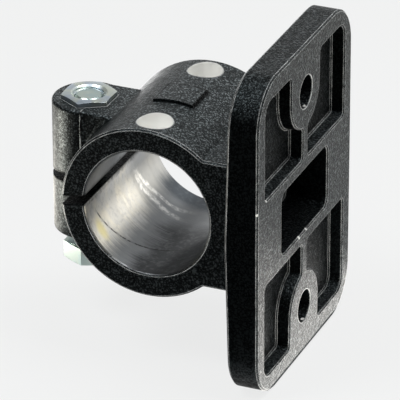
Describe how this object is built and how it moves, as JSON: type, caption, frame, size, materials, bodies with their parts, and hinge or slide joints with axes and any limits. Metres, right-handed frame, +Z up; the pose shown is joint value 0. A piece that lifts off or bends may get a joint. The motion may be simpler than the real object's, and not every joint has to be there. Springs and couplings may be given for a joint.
{
  "type": "tube clamp connector",
  "caption": "Slit clamping ring for a round tube, cast together with a ribbed rectangular flange and tightened by a hexagon bolt and nut through its ear.",
  "frame": {"origin": "middle of the tube bore, on its axis", "axes": "+Y along the clamped tube, +X out of the ribbed flange face, +Z up along the flange's long side"},
  "size_m": [0.0547, 0.0508, 0.069],
  "materials": {
    "black_coat": "fine textured black powder coat, bore and drilled holes bare aluminium",
    "zinc_bolt": "bright zinc plated",
    "zinc_nut": "bright zinc plated"
  },
  "bodies": {
    "clamp": {"clamp_body": "black_coat", "clamp_nut": "zinc_nut"},
    "bolt": {"clamp_bolt": "zinc_bolt"}
  },
  "joints": [
    {"name": "bolt_turn", "type": "hinge", "parent": "clamp", "child": "bolt", "pos_m": [-0.0201, 0, 0], "axis": [0, 0, 1], "range_deg": [-1656, 1332]}
  ]
}
